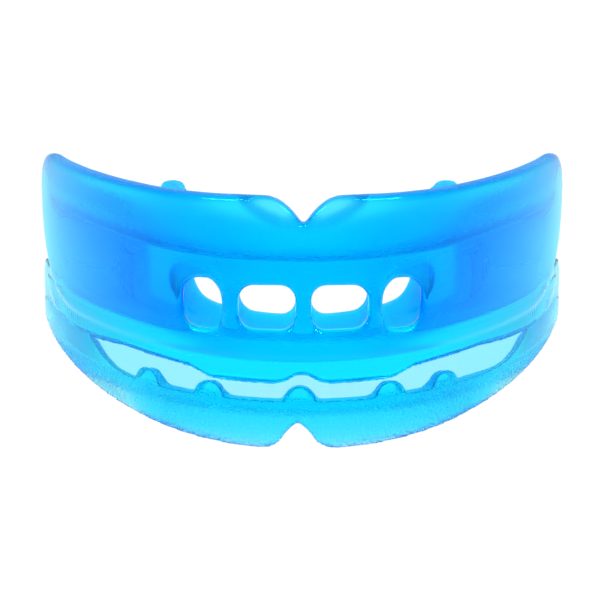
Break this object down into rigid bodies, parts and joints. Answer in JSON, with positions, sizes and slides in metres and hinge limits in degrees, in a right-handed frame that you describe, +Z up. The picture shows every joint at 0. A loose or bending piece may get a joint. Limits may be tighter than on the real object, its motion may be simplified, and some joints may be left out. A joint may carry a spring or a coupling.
{
  "type": "mouthguard",
  "caption": "Clear blue double-arch mouthguard for braces, with upper and lower tooth channels, lip shields, tongue walls and air ports through the bite block.",
  "frame": {"origin": "middle of the footprint on the table the guard stands on", "axes": "+X towards the wearer's left, -Y towards the lips, +Z up; the bite plane falls 12 degrees towards +Y"},
  "size_m": [0.0666, 0.0358, 0.0312],
  "materials": {
    "clear_blue_silicone": "glossy, see-through",
    "frosted_blue_silicone": "fine frosted texture, see-through"
  },
  "bodies": {
    "root": {"upper_lip_shield": "clear_blue_silicone", "upper_tongue_wall": "clear_blue_silicone", "upper_port_bar": "clear_blue_silicone", "port_pillars": "clear_blue_silicone", "lower_port_bar": "clear_blue_silicone", "bite_pad_left": "clear_blue_silicone", "bite_pad_right": "clear_blue_silicone", "lower_shoulder_band": "clear_blue_silicone", "lower_lip_shield": "clear_blue_silicone", "lower_rim_bead": "frosted_blue_silicone", "lower_bracket_ribs": "clear_blue_silicone", "lower_tongue_wall": "clear_blue_silicone"}
  },
  "joints": []
}
